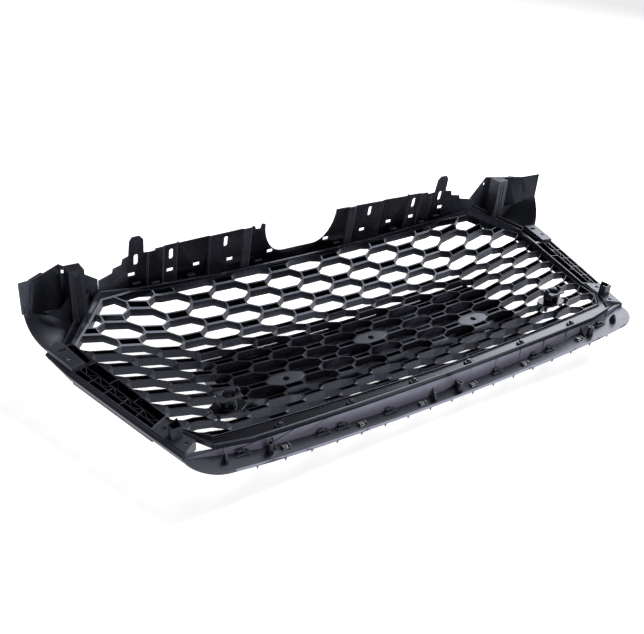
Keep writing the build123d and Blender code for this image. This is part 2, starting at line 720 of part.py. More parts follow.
def side_rail():
    """Open-backed box rail with a channel beside the honeycomb and a ribbed outer channel."""
    low_in, low_out = rail_end_low()
    high_in, high_out = rail_end_high()
    mid_in = mesh_outline(MESH_RIM)[3]
    box = upright([low_in, low_out, high_out, high_in]) & rail_slab(RAIL_DEPTH)
    for pocket in rail_pockets():
        box -= upright(pocket) & rail_slab(RAIL_DEPTH - RAIL_WALL, -RAIL_DEPTH)
    outline = [high_in, block_foot(), BLOCK_FAR_INNER, mid_in]
    neck = upright(outline) & rail_slab(RAIL_DEPTH)
    neck -= upright(shrunk(outline, 0.62, 0.86)) & rail_slab(RAIL_DEPTH - RAIL_WALL, -RAIL_DEPTH)
    return box + neck


def upright(outline):
    """Prism over a plan outline from below everything to above it."""
    return prism(outline, BELOW_ALL, ABOVE_ALL)


def block_foot():
    """Plan point where the upper block's inner edge meets the rail's end."""
    return rail_point(1.0, INNER_CHANNEL[1])


def side_trim():
    """Smooth outer band beside the rail and the lower block."""
    path = [(BLOCK_FAR_OUTER, TRIM_END_SHARE), (RAIL_OUTER_HIGH, 1.0), (RAIL_OUTER_LOW, 1.0),
            (LOWER_BLOCK_END, 1.0)]
    sections = []
    for (x, y), share in path:
        z = rail_top(y)
        width = TRIM_WIDTH * share
        foot = z - TRIM_DEPTH * share
        profile = [(0.0, z - 1.0), (width * 0.5, z - 1.6), (width, z - 4.5), (width * 0.6, foot), (0.0, foot)]
        sections.append([(x + u, y - TRIM_SKEW * u, height) for u, height in profile])
    return run_of_sections(sections)


def upper_block():
    """Mounting block at the upper end of the rail, with a square and a round hole."""
    outline = [block_foot(), RAIL_OUTER_HIGH, BLOCK_FAR_OUTER, BLOCK_FAR_INNER]
    block = upright(outline) & rail_slab(BLOCK_HEIGHT - BLOCK_RISE, -BLOCK_RISE)
    block -= upright(shrunk(outline, 0.80, 0.80)) & rail_slab(RAIL_DEPTH, RAIL_WALL - BLOCK_RISE)
    block -= post(*UPPER_BLOCK_BOLT, BLOCK_BOLT_RADIUS, BELOW_ALL, ABOVE_ALL)
    return block - upright(rectangle(*UPPER_BLOCK_WINDOW, *BLOCK_WINDOW_SIZE))


def rectangle(x, y, width, height):
    """Corners of a rectangle about its middle."""
    w = width / 2
    h = height / 2
    return [(x - w, y - h), (x + w, y - h), (x + w, y + h), (x - w, y + h)]


def shrunk(outline, factor_x, factor_y):
    """Plan outline scaled about its middle."""
    cx = sum(x for x, y in outline) / len(outline)
    cy = sum(y for x, y in outline) / len(outline)
    return [(cx + (x - cx) * factor_x, cy + (y - cy) * factor_y) for x, y in outline]


def lower_block_outline():
    """Plan outline of the mounting block at the lower end of the rail."""
    stations = bar_stations()
    inner = [outer for _, outer, _ in stations[-3:]]
    return [inner[2], RAIL_OUTER_LOW, LOWER_BLOCK_END, inner[0], inner[1]]


def lower_block():
    """Mounting block at the lower end of the rail, with two bolt holes and a hollow front."""
    outline = lower_block_outline()
    block = upright(outline) & rail_slab(BLOCK_HEIGHT)
    block -= upright(shrunk(outline[:4], 0.72, 0.72)) & rail_slab(RAIL_DEPTH, RAIL_WALL)
    for x, y in LOWER_BLOCK_BOLTS:
        block -= post(x, y, BLOCK_BOLT_RADIUS, BELOW_ALL, ABOVE_ALL)
    return block


def box_clip():
    """Upright open box that stands on the lower block."""
    x, y = BOX_CLIP_PLACE
    base = rail_top(y)
    head = base + BOX_CLIP_HEIGHT
    clip = prism(rectangle(x, y, BOX_CLIP_WIDTH, BOX_CLIP_LENGTH), base, head)
    bore = rectangle(x, y, BOX_CLIP_WIDTH - 2 * CLIP_WALL, BOX_CLIP_LENGTH - 2 * CLIP_WALL)
    clip -= prism(bore, base + SHEET, head + NUDGE)
    left = x - BOX_CLIP_WIDTH / 2
    fin = wall_prism([(left, head - NUDGE), (x + BOX_CLIP_WIDTH / 2, head - NUDGE), (left + 2.0, head + 6.0)],
                     y + BOX_CLIP_LENGTH / 2 - CLIP_WALL, y + BOX_CLIP_LENGTH / 2)
    return (clip + fin) & rail_slab(0.0, -2 * BOX_CLIP_HEIGHT)


def rail_top(y):
    """Height of the rails' rear plane at y."""
    return RAIL_LOW_Z + (RAIL_HIGH_Z - RAIL_LOW_Z) * (y - RAIL_LOW_Y) / (RAIL_HIGH_Y - RAIL_LOW_Y)


def corner_frame():
    """Slanting channel between the middle and the top corner of the honeycomb."""
    mid_in, top_in = mesh_outline(MESH_RIM)[3:5]
    ends = [(mid_in, BLOCK_FAR_INNER, rail_top(mid_in[1])),
            (top_in, FRAME_TOP_OUTER, CORNER_TOP_Z)]
    sections = []
    for inner, outer, z in ends:
        foot = height_on_face(*inner) - WEB_DEPTH
        floor = z - FRAME_DEPTH + SHEET
        near = FRAME_WALL_SHARE
        far = 1.0 - FRAME_WALL_SHARE
        profile = [(0.0, foot), (0.0, z), (near, z), (near, floor), (far, floor), (far, z + FRAME_LIP),
                   (1.0, z + FRAME_LIP), (1.0, z - FRAME_DEPTH), (near, z - FRAME_DEPTH - 0.5), (near, foot)]
        sections.append([(inner[0] + u * (outer[0] - inner[0]), inner[1] + u * (outer[1] - inner[1]), h)
                         for u, h in profile])
    return run_of_sections(sections)


def corrugated_line():
    """Plan points of the support panel's inner face: flat panels joined by small steps."""
    half = [(0.0, 0.0)]
    offset = 0.0
    for share, step_to in CORRUGATIONS:
        x = share * PANEL_HALF_SPAN
        half += [(x - NUDGE, offset), (x + NUDGE, step_to)]
        offset = step_to
    half += [(PANEL_HALF_SPAN, 0.0), (FOLD_X, 0.0)]
    right = [(x, flange_y(x) + jog) for x, jog in half]
    return [(-x, y) for x, y in reversed(right[1:])] + right


def cutout_edge():
    """Right edge of the round cut-out from its floor to the top, a quarter ellipse."""
    width = CUTOUT_HALF_TOP - CUTOUT_HALF_BOTTOM
    height = PANEL_TOP_Z - CUTOUT_FLOOR_Z
    turns = [math.pi / 2 * i / CUTOUT_STEPS for i in range(CUTOUT_STEPS + 1)]
    return [(CUTOUT_HALF_BOTTOM + width * math.sin(turn), CUTOUT_FLOOR_Z + height * (1 - math.cos(turn)))
            for turn in turns]


def flange_outline():
    """Rear view outline of the support panel as (x, z) points, without its holes."""
    top = PANEL_TOP_Z
    crenel_l, crenel_r = CRENEL_X
    tab_l = TAB_CENTRE_X - TAB_HALF_WIDTH
    tab_r = TAB_CENTRE_X + TAB_HALF_WIDTH
    shoulder = [(crenel_l, top - 1.0), (crenel_l, top + 1.5), (crenel_r, top + 1.0), (crenel_r, top - 2.0),
                (tab_l, top - 2.5), (tab_l + 1.0, TAB_TOP_Z - TAB_CHAMFER), (tab_l + TAB_CHAMFER, TAB_TOP_Z),
                (tab_r - TAB_CHAMFER * 0.8, TAB_TOP_Z), (tab_r - 1.0, TAB_TOP_Z - TAB_CHAMFER),
                (tab_r, top - 2.5), (tab_r + 11.0, top - 3.5), (tab_r + 13.0, top - 12.3),
                (FOLD_X - 26.0, top - 12.8), (FOLD_X - 24.0, top - 20.0), (FOLD_X, FOLD_TOP_Z),
                (FOLD_X, FOLD_BASE_Z), (TOP_CROWN_X, PANEL_BASE_Z)]
    foot = -CUTOUT_HALF_TOP - HORN_WIDTH - 5.0
    horn = [(foot, top), (foot + 2.0, top - 6.0), (foot + 11.0, top - 7.0), (foot + 13.0, top + 1.5),
            (foot + HORN_WIDTH, top + 1.5)]
    left = [(-x, z) for x, z in reversed(shoulder)] + horn + [(-x, z) for x, z in reversed(cutout_edge())]
    return cutout_edge() + shoulder + left


def slot_outline(x, z, width, length):
    """Round-ended upright slot as (x, z) points."""
    radius = width / 2
    reach = length / 2 - radius
    points = []
    for start, centre_z in ((0.0, z + reach), (math.pi, z - reach)):
        for i in range(ARC_STEPS + 1):
            turn = start + math.pi * i / ARC_STEPS
            points.append((x + radius * math.cos(turn), centre_z + radius * math.sin(turn)))
    return points


def upper_support_panel():
    """Upright corrugated panel with slots, windows, two tabs and a round cut-out."""
    inner = corrugated_line()
    plan = inner + [(x, y + SHEET) for x, y in reversed(inner)]
    levels = []
    for z in (PANEL_BASE_Z - NUDGE, TAB_TOP_Z + NUDGE):
        lean = -PANEL_LEAN * (z - PANEL_DATUM_Z)
        levels.append([(x, y + lean, z) for x, y in plan])
    wall = run_of_sections(levels)
    holes = []
    for reach in (-PANEL_HALF_SPAN, PANEL_HALF_SPAN):
        for share, z in SLOT_PLACES:
            holes.append(slot_outline(reach * share, z, SLOT_WIDTH, SLOT_LENGTH))
        for share, z in WINDOW_PLACES:
            holes.append(rectangle(reach * share, z, WINDOW_WIDTH, WINDOW_HEIGHT))
    y_low = FOLD_Y - 2 * FACE_END_RUN
    outer_wire = Wire.make_polygon([(x, y_low, z) for x, z in flange_outline()])
    hole_wires = [Wire.make_polygon([(x, y_low, z) for x, z in hole]) for hole in holes]
    cutter = Solid.extrude(Face(outer_wire, hole_wires), Vector(0, 4 * FACE_END_RUN, 0))
    panel = wall & cutter
    for reach in (-PANEL_HALF_SPAN, PANEL_HALF_SPAN):
        for share in HOOK_PLACES:
            x = reach * share
            z = height_on_face(x, FACE_TOP_Y) + HOOK_CLEARANCE
            y = flange_y(x) - PANEL_LEAN * (z - PANEL_DATUM_Z)
            panel += Pos(x, y - 0.5, z) * Box(*HOOK_SIZE)
    return panel


def top_bar():
    """Bar between the honeycomb's top edge and the support panel."""
    stations = mesh_outline(MESH_RIM)[4:8]
    heights = [CORNER_TOP_Z - 4.0] + [height_on_face(x, FACE_TOP_Y) + TOP_EDGE_RISE for x, y in stations[1:]]
    right = [(x, y, z) for (x, y), z in zip(stations, heights)]
    left = [(-x, y, z) for x, y, z in right[:-1]]
    sections = []
    for x, y, z in left + list(reversed(right)):
        far = flange_y(x) - PANEL_LEAN * (z - PANEL_DATUM_Z) + 4.0
        sections.append([(x, y, z - WEB_DEPTH), (x, y, z), (x, y + 2.5, z + 1.0), (x, y + 3.5, z - 3.0),
                         (x, far, z - 3.0), (x, far + 1.5, z - WEB_DEPTH)])
    return run_of_sections(sections)


def wing():
    """Ear beside the headlamp: upright back wall, curved front skin and floor."""
    plan = [(FOLD_X, FOLD_Y)] + WING_PLAN
    tops = [FOLD_TOP_Z] + WING_TOPS
    bases = [FOLD_BASE_Z] + WING_BASES
    sections = []
    for i, ((x, y), top, base) in enumerate(zip(plan, tops, bases)):
        a = plan[max(i - 1, 0)]
        b = plan[min(i + 1, len(plan) - 1)]
        length = math.hypot(b[0] - a[0], b[1] - a[1])
        nx, ny = (b[1] - a[1]) / length * -SHEET, (b[0] - a[0]) / length * SHEET
        foot = base - SHEET
        sections.append([(x, y, foot), (x, y, top), (x + nx, y + ny, top), (x + nx, y + ny, foot)])
    wall = run_of_sections(sections)
    peak_x, peak_y = WING_PLAN[0]
    hole = Box(WINDOW_HEIGHT, 8 * SHEET, WINDOW_HEIGHT)
    wall -= Pos(peak_x - 5.0, peak_y - 1.5, WING_TOPS[0] - 2 * WINDOW_HEIGHT) * hole
    wall += wing_loop()
    for share in WING_RIBS:
        wall += wing_rib(share)
    edge, *skin_lines = wing_lines()
    skin = [curved_row(line) for line in reversed(skin_lines)]
    skin = [list(row) for row in zip(*[curved_row(line) for line in zip(*skin)])]
    rows = skin + [curved_row(edge), curved_row(frame_outer_line())]
    return wall + grid_solid(rows, [[(x, y, z - SHEET) for x, y, z in row] for row in rows])


def wing_lines():
    """Three points down the skin from each plan point of the wing's back wall."""
    lines = []
    for (x, y), base, middle, foot in zip(WING_PLAN, WING_BASES, WING_MIDDLES, WING_FEET):
        line = [(x, y, base)]
        for dx, dy, z in (middle, foot):
            line.append((MID_CORNER[0] + dx, MID_CORNER[1] + dy, z))
        lines.append(line)
    return lines


def curved_row(points):
    """Seven points along the smooth curve through three."""
    a, b, c = points
    row = []
    for i in range(7):
        t = i / 6
        weights = ((1 - t) * (1 - 2 * t), 4 * t * (1 - t), t * (2 * t - 1))
        row.append(tuple(sum(w * p[k] for w, p in zip(weights, (a, b, c))) for k in range(3)))
    return row


def wing_loop():
    """Open loop at the head of the wing's back wall."""
    (ax, ay), (bx, by) = WING_PLAN[1], WING_PLAN[2]
    length = math.hypot(bx - ax, by - ay)
    nx, ny = -(by - ay) / length, (bx - ax) / length
    low = WING_TOPS[1] - LOOP_HEIGHT

    def strip_of(start, end, near, far):
        return [(ax + start * (bx - ax) + near * nx, ay + start * (by - ay) + near * ny),
                (ax + end * (bx - ax) + near * nx, ay + end * (by - ay) + near * ny),
                (ax + end * (bx - ax) + far * nx, ay + end * (by - ay) + far * ny),
                (ax + start * (bx - ax) + far * nx, ay + start * (by - ay) + far * ny)]

    outer = prism(strip_of(0.0, 1.0, 0.5, LOOP_DEPTH), low, WING_TOPS[1])
    opening = strip_of(0.1, 0.9, SHEET, LOOP_DEPTH - RIB_THICKNESS)
    return outer - prism(opening, low - NUDGE, WING_TOPS[1] + NUDGE)


def wing_rib(share):
    """Thin slanting rib on the inner side of the wing's back wall."""
    (ax, ay), (bx, by) = WING_PLAN[2], WING_PLAN[3]
    length = math.hypot(bx - ax, by - ay)
    tx, ty = (bx - ax) / length, (by - ay) / length
    sections = []
    for along, z in ((share - WING_RIB_LEAN, WING_TOPS[2] - NUDGE), (share, WING_BASES[3] + 4.0)):
        x = ax + along * (bx - ax)
        y = ay + along * (by - ay)
        corners = ((0.0, -0.5), (0.0, RIB_PROUD), (RIB_THICKNESS, RIB_PROUD), (RIB_THICKNESS, -0.5))
        sections.append([(x + u * tx + v * ty, y + u * ty - v * tx, z) for u, v in corners])
    return run_of_sections(sections)


def frame_outer_line():
    """Three points along the foot of the corner frame's outer wall, from its top end."""
    (ax, ay), (bx, by) = FRAME_TOP_OUTER, BLOCK_FAR_INNER
    az = CORNER_TOP_Z - FRAME_DEPTH + SHEET
    bz = rail_top(MID_CORNER[1]) - FRAME_DEPTH + SHEET
    return [(ax, ay, az), ((ax + bx) / 2, (ay + by) / 2, (az + bz) / 2), (bx, by, bz)]


def headlamp_post():
    """Hollow column with a drilled cap, two grooves and a gusset towards the wing."""
    column = prism(rectangle(POST_X, POST_Y, POST_WIDTH, POST_DEPTH), POST_BASE_Z, POST_TOP_Z)
    bore = rectangle(POST_X, POST_Y + SHEET, POST_WIDTH - 2 * SHEET, POST_DEPTH)
    column -= prism(bore, POST_BASE_Z - NUDGE, POST_TOP_Z - POST_CAP)
    front = POST_Y - POST_DEPTH / 2
    for dx in POST_GROOVES:
        groove = rectangle(POST_X + dx, front, POST_GROOVE_WIDTH, 2 * NUDGE)
        column -= prism(groove, POST_BASE_Z + 10.0, POST_TOP_Z - 2 * POST_CAP)
    for dy in (-POST_HOLE_SPACING / 2, POST_HOLE_SPACING / 2):
        column -= post(POST_X, POST_Y + dy, POST_HOLE_RADIUS, POST_TOP_Z - 2 * POST_CAP, ABOVE_ALL)
    side = POST_X + POST_WIDTH / 2
    return column + wall_prism([(side + dx, z) for dx, z in POST_WEB], POST_Y - 2.0, POST_Y)


def sensor_seat():
    """Height of the flat seat of the sensor holder, level with the highest webs under it."""
    return height_on_face(SENSOR_X + SENSOR_BASE[0][0], SENSOR_Y - SENSOR_BASE[1][1])


def sensor_holder():
    """Ring socket for a parking sensor on a flat base that spans a cell."""
    x, y = SENSOR_X, SENSOR_Y
    z = sensor_seat()
    (long_x, short_y), (short_x, long_y) = SENSOR_BASE
    outline = [(-long_x, -short_y), (-short_x, -long_y), (short_x, -long_y), (long_x, -short_y),
               (long_x, short_y), (short_x, long_y), (-short_x, long_y), (-long_x, short_y)]
    base = prism([(x + dx, y + dy) for dx, dy in outline], z, z + SHEET)
    holder = base + post(x, y, SENSOR_RADIUS + SHEET, z, z + SENSOR_HEIGHT)
    for dx in (-SENSOR_FEET[0], SENSOR_FEET[0]):
        for dy in (-SENSOR_FEET[1], SENSOR_FEET[1]):
            holder += Pos(x + dx, y + dy, z + NUDGE - SENSOR_FOOT_SIZE[2] / 2) * Box(*SENSOR_FOOT_SIZE)
    return holder - post(x, y, SENSOR_RADIUS, BELOW_ALL, ABOVE_ALL)


def sensor_retainer():
    """Clip frame that sits over the sensor holder's ring."""
    x, y = SENSOR_X, SENSOR_Y
    z = sensor_seat() + SENSOR_HEIGHT
    outer = SENSOR_RADIUS + SHEET
    leg = outer + RETAINER_LEG[0]
    plate = prism(rectangle(x, y, 2 * leg + RETAINER_LEG[0], 2 * outer), z, z + RETAINER_PLATE)
    plate -= post(x, y, SENSOR_RADIUS, BELOW_ALL, ABOVE_ALL)
    for side in (-1, 1):
        plate += Pos(x + side * leg, y, z + 1.5 - RETAINER_LEG[2] / 2) * Box(*RETAINER_LEG)
        plate += Pos(x + side * leg, y, z + 2.0 + RETAINER_EAR[2] / 2) * Box(*RETAINER_EAR)
    return plate


def trim_clip(x):
    """Small bracket clip at the foot of the lip strip's wall."""
    z = strip_height(x)
    y = wall_foot_y(x) - 4.5
    clip = Pos(x, y, z + 0.4) * Box(20.0, 8.0, 4.0)
    clip += Pos(x - 2.0, y + 1.0, z + 4.5) * Box(9.0, 5.0, 5.0)
    return clip + Pos(x + 6.0, y - 1.0, z + 3.4) * Box(7.0, 2.5, 3.0)


def spring_nut(x):
    """Pressed sheet nut with a raised thread collar and two bent ears."""
    z = strip_height(x)
    y = nut_y(x)
    collar_radius, collar_height = NUT_COLLAR
    nut = Pos(x, y, z + 0.1) * Box(*NUT_PLATE)
    nut += post(x, y, collar_radius, z, z + collar_height)
    reach = (NUT_PLATE[0] - NUT_EAR[0]) / 2
    for side in (-1, 1):
        nut += Pos(x + side * reach, y, z + NUT_EAR[2] / 2) * Box(*NUT_EAR)
    return nut - post(x, y, NUT_THREAD_RADIUS, BELOW_ALL, ABOVE_ALL)


def locating_boss(x):
    """Tapered hollow boss that locates the bumper cover."""
    z = strip_height(x)
    y = nut_y(x) - 1.0
    base = Plane((x, y, z - NUDGE))
    boss = Solid.make_cone(BOSS_RADIUS, BOSS_RADIUS * BOSS_TAPER, BOSS_HEIGHT + NUDGE, base)
    return boss - post(x, y, BOSS_RADIUS * BOSS_BORE_SHARE, z + SHEET, z + BOSS_HEIGHT + NUDGE)


def locating_fin(x):
    """Pointed fin that stands across the lip strip."""
    z = strip_height(x)
    y = nut_y(x)
    wide = FIN_HALF_WIDTH
    fin = [(y - wide, z - NUDGE), (y + wide, z - NUDGE), (y + wide - 1.0, z + 5.0), (y + 1.0, z + FIN_HEIGHT),
           (y - 1.0, z + FIN_HEIGHT), (y - wide + 1.0, z + 5.0)]
    return side_prism(fin, x - FIN_THICKNESS / 2, x + FIN_THICKNESS / 2)


def bar_clip(x):
    """Small clip that sits in the groove of the bottom bar."""
    z = bar_height(x) - 3.5
    y = BAR_RIDGE_Y + 8.5
    clip = Pos(x, y, z + 1.0) * Box(12.0, 6.0, 4.0)
    return clip + Pos(x + 1.0, y, z + 3.5) * Box(5.0, 4.0, 5.0)


def seated(piece, *neighbours):
    """Piece cut back to its neighbours' faces, each of its solids staying in one lump."""
    solids = []
    for solid in piece.solids():
        for neighbour in neighbours:
            solid = max((solid - neighbour).solids(), key=lambda lump: lump.volume)
        solids.append(solid)
    return solids[0] if len(solids) == 1 else Compound(solids)


def row_of(make, distances, neighbour):
    """Pieces made at each distance on both sides of the centre plane, seated on a neighbour."""
    solids = []
    for x in distances:
        solids += list(seated(make(x), neighbour).solids())
        solids += list(seated(make(-x), neighbour).solids())
    return Compound(solids)


def centre_nodes():
    """Nodes on the centre plane or spread along it."""
    mesh = honeycomb_mesh()
    panel = upper_support_panel()
    bar = bottom_bar()
    strip = seated(lip_strip(), bar)
    centre_boss = seated(locating_boss(CENTRE_BOSS_X), strip)
    centre_fin = seated(locating_fin(CENTRE_FIN_X), strip)
    return {
        "honeycomb_mesh": mesh,
        "plate_carrier_panel": plate_carrier_panel(),
        "plate_pad_left": plate_fixing_pad(-PAD_COLUMN, PAD_ROW),
        "plate_pad_center": plate_fixing_pad(0, MID_PAD_ROW),
        "plate_pad_right": plate_fixing_pad(PAD_COLUMN, PAD_ROW),
        "upper_support_panel": panel,
        "top_bar": seated(top_bar(), panel),
        "bottom_bar": bar,
        "lip_strip": strip,
        "trim_clips": row_of(trim_clip, TRIM_CLIP_X, strip),
        "spring_nuts": row_of(spring_nut, SPRING_NUT_X, strip),
        "bar_clips": row_of(bar_clip, BAR_CLIP_X, bar),
        "locating_bosses": Compound([centre_boss] + list(row_of(locating_boss, [BOSS_X], strip).solids())),
        "locating_fins": Compound([centre_fin] + list(row_of(locating_fin, [FIN_X], strip).solids())),
    }


def handed_nodes(centre):
    """Nodes of the right-hand side, which the left side mirrors."""
    frame = seated(corner_frame(), centre["upper_support_panel"])
    ear = seated(wing(), frame, centre["upper_support_panel"])
    holder = seated(sensor_holder(), centre["honeycomb_mesh"])
    block = seated(lower_block(), centre["lip_strip"])
    return {
        "side_rail": side_rail(),
        "side_trim": seated(side_trim(), ear, centre["lip_strip"]),
        "upper_block": seated(upper_block(), ear),
        "lower_block": block,
        "box_clip": box_clip(),
        "corner_frame": frame,
        "wing": ear,
        "headlamp_post": seated(headlamp_post(), frame, ear),
        "sensor_holder": holder,
        "sensor_retainer": sensor_retainer(),
    }


def grille_nodes():
    """Every node's name and shape, in the drawing frame."""
    nodes = centre_nodes()
    for name, shape in handed_nodes(nodes).items():
        nodes[name + "_right"] = shape
        nodes[name + "_left"] = mirrored(shape)
    for name in ("side_trim_left", "lower_block_left"):
        nodes[name] = seated(nodes[name], nodes["lip_strip"])
    return nodes


def resting_place(nodes):
    """Move that puts the origin at the middle of the base of the bounding box."""
    boxes = [shape.bounding_box() for shape in nodes.values()]
    y_low = min(box.min.Y for box in boxes)
    y_high = max(box.max.Y for box in boxes)
    z_low = min(box.min.Z for box in boxes)
    return Pos(0, -(y_low + y_high) / 2, -z_low)


def main():
    """Build every node and write one STEP file for each."""
    os.makedirs("parts", exist_ok=True)
    nodes = grille_nodes()
    place = resting_place(nodes)
    for name, shape in nodes.items():
        export_step(place * shape, os.path.join("parts", name + ".step"))


if __name__ == "__main__":
    main()
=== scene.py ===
"""Looks of the front grille: softened mouldings, small fittings, finishes, floor, light and camera.

Every length is in metres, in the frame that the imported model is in.
"""

import logging  # noqa: E402
import math  # noqa: E402
from dataclasses import dataclass, field  # noqa: E402
from enum import Enum  # noqa: E402

import bpy  # noqa: E402
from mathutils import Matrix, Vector  # noqa: E402


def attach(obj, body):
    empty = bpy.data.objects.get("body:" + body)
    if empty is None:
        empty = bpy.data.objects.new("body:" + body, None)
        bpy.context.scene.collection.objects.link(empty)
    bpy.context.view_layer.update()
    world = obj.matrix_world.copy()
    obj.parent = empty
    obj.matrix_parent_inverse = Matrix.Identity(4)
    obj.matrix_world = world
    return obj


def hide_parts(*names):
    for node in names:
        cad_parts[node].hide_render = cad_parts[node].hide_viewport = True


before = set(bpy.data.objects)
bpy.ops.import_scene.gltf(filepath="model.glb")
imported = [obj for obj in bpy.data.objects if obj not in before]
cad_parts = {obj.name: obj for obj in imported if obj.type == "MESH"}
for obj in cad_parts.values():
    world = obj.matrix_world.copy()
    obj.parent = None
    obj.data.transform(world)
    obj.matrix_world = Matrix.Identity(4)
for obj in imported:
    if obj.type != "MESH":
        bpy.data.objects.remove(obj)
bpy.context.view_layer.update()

LOG = logging.getLogger("grille")
BODY = "root"
MM = 0.001

# softening of the CAD meshes
MERGE_DISTANCE = 0.01 * MM
FLAT_WITHIN = math.radians(1.0)
QUAD_SKEW = math.radians(70.0)
ROUND_ABOVE = math.radians(28.0)
SMOOTH_BELOW = math.radians(35.0)
FACE_WEIGHT = 80

# places in a softened piece's list of materials: the painted edge highlight on the roundings, and the
# painted reflection on the lip strip's wall
PAINTED_HIGHLIGHT_SLOT = 1
PAINTED_REFLECTION_SLOT = 2

# range of pointiness over which a finish goes from clean to its pale edge colour, partly wear and
# partly painted highlight
WEAR_AND_HIGHLIGHT_START = 0.515
WEAR_AND_HIGHLIGHT_FULL = 0.60
STREAK_STRETCH = (3.0, 40.0, 40.0)


class Side(Enum):
    """Which flank of the grille a handed sub-assembly belongs to."""

    LEFT = "left"
    RIGHT = "right"

    @property
    def sign(self) -> float:
        """Direction of the flank along the X axis."""
        return -1.0 if self is Side.LEFT else 1.0


class Slot(Enum):
    """Material slots of the part's record."""

    SATIN = "satin_black_abs"
    TEXTURED = "textured_black_pp"
    SLATE = "slate_trim"
    STEEL = "zinc_steel"


@dataclass(frozen=True)
class Pattern:
    """Noise pattern: waves per metre, octaves and the weight of the finer octaves."""

    scale: float
    detail: float
    rough: float


CLOUDS = Pattern(scale=14.0, detail=5.0, rough=0.62)
BREAKS = Pattern(scale=160.0, detail=4.0, rough=0.7)
STREAKS = Pattern(scale=1.0, detail=4.0, rough=0.6)


@dataclass(frozen=True)
class Finish:
    """A moulded plastic or plated metal, with grain, mottling and pale edges that are partly rubbed
    wear and partly painted highlight.

    Colours are linear red, green and blue. Grain is in waves per metre, its height in metres.
    A finish with the flag set shows the painted edge highlight finish on its rounded edges.
    """

    name: str
    slot: Slot
    deep: tuple[float, float, float]
    light: tuple[float, float, float]
    wear_and_highlight_colour: tuple[float, float, float]
    roughness: tuple[float, float]
    grain: float
    grain_height: float
    metal: float = 0.0
    specular: float = 0.5
    wear_and_highlight_strength: float = 0.6
    streak: float = 0.0
    tint: tuple[float, float, float] = (0.74, 0.80, 1.0)
    edge_wear_and_highlight: bool = True

    def material(self) -> bpy.types.Material:
        """Builds the procedural material, or gives back the one made before.

        Returns:
            The Blender material of this finish.
        """
        made = bpy.data.materials.get(self.name)
        if made is not None:
            return made
        made = bpy.data.materials.new(self.name)
        made.use_nodes = True
        tree = made.node_tree
        tree.nodes.clear()
        nodes, links = tree.nodes, tree.links

        out = nodes.new("ShaderNodeOutputMaterial")
        skin = nodes.new("ShaderNodeBsdfPrincipled")
        links.new(skin.outputs["BSDF"], out.inputs["Surface"])
        skin.inputs["Metallic"].default_value = self.metal
        skin.inputs["Specular IOR Level"].default_value = self.specular
        skin.inputs["Specular Tint"].default_value = (*self.tint, 1.0)

        place = nodes.new("ShaderNodeTexCoord").outputs["Object"]
        cloudy = self._noise(tree, place, CLOUDS)
        fine = self._noise(tree, place, Pattern(scale=self.grain, detail=3.0, rough=0.55))
        smear = self._streaks(tree, place)

        tone = nodes.new("ShaderNodeMix")
        tone.data_type = "RGBA"
        tone.inputs["A"].default_value = (*self.deep, 1.0)
        tone.inputs["B"].default_value = (*self.light, 1.0)
        links.new(cloudy, tone.inputs["Factor"])

        # Convex edges, found by pointiness and broken up by noise, lighten toward the finish's edge
        # colour: partly wear, partly painted highlight.
        edge = nodes.new("ShaderNodeNewGeometry").outputs["Pointiness"]
        sharp = nodes.new("ShaderNodeMapRange")
        sharp.inputs["From Min"].default_value = WEAR_AND_HIGHLIGHT_START
        sharp.inputs["From Max"].default_value = WEAR_AND_HIGHLIGHT_FULL
        links.new(edge, sharp.inputs["Value"])
        edge_wear_and_highlight = self._math(tree, "MULTIPLY", sharp.outputs["Result"], self._noise(tree, place, BREAKS))
        edge_wear_and_highlight = self._math(tree, "MULTIPLY", edge_wear_and_highlight, self.wear_and_highlight_strength)
        wear_and_highlight_colour = nodes.new("ShaderNodeMix")
        wear_and_highlight_colour.data_type = "RGBA"
        wear_and_highlight_colour.inputs["B"].default_value = (*self.wear_and_highlight_colour, 1.0)
        links.new(edge_wear_and_highlight, wear_and_highlight_colour.inputs["Factor"])
        links.new(tone.outputs["Result"], wear_and_highlight_colour.inputs["A"])
        links.new(wear_and_highlight_colour.outputs["Result"], skin.inputs["Base Color"])

        gloss = nodes.new("ShaderNodeMapRange")
        gloss.inputs["To Min"].default_value = self.roughness[0]
        gloss.inputs["To Max"].default_value = self.roughness[1]
        mixed = self._math(tree, "ADD", cloudy, self._math(tree, "MULTIPLY", smear, self.streak))
        links.new(mixed, gloss.inputs["Value"])
        links.new(gloss.outputs["Result"], skin.inputs["Roughness"])

        bump = nodes.new("ShaderNodeBump")
        bump.inputs["Strength"].default_value = 1.0
        bump.inputs["Distance"].default_value = self.grain_height
        links.new(fine, bump.inputs["Height"])
        links.new(bump.outputs["Normal"], skin.inputs["Normal"])
        return made

    def _noise(self, tree: bpy.types.NodeTree, place: bpy.types.NodeSocket,
               pattern: Pattern) -> bpy.types.NodeSocket:
        """Adds a noise pattern on object coordinates.

        Args:
            tree: Node tree that gets the pattern.
            place: Coordinates socket.
            pattern: Scale and octaves of the noise.

        Returns:
            The pattern's factor socket.
        """
        node = tree.nodes.new("ShaderNodeTexNoise")
        node.inputs["Scale"].default_value = pattern.scale
        node.inputs["Detail"].default_value = pattern.detail
        node.inputs["Roughness"].default_value = pattern.rough
        tree.links.new(place, node.inputs["Vector"])
        return node.outputs["Fac"]

    def _streaks(self, tree: bpy.types.NodeTree, place: bpy.types.NodeSocket) -> bpy.types.NodeSocket:
        """Adds faint flow marks drawn out along the grille's width.

        Args:
            tree: Node tree that gets the pattern.
            place: Coordinates socket.

        Returns:
            The pattern's factor socket.
        """
        drawn = tree.nodes.new("ShaderNodeMapping")
        drawn.inputs["Scale"].default_value = STREAK_STRETCH
        tree.links.new(place, drawn.inputs["Vector"])
        return self._noise(tree, drawn.outputs["Vector"], STREAKS)

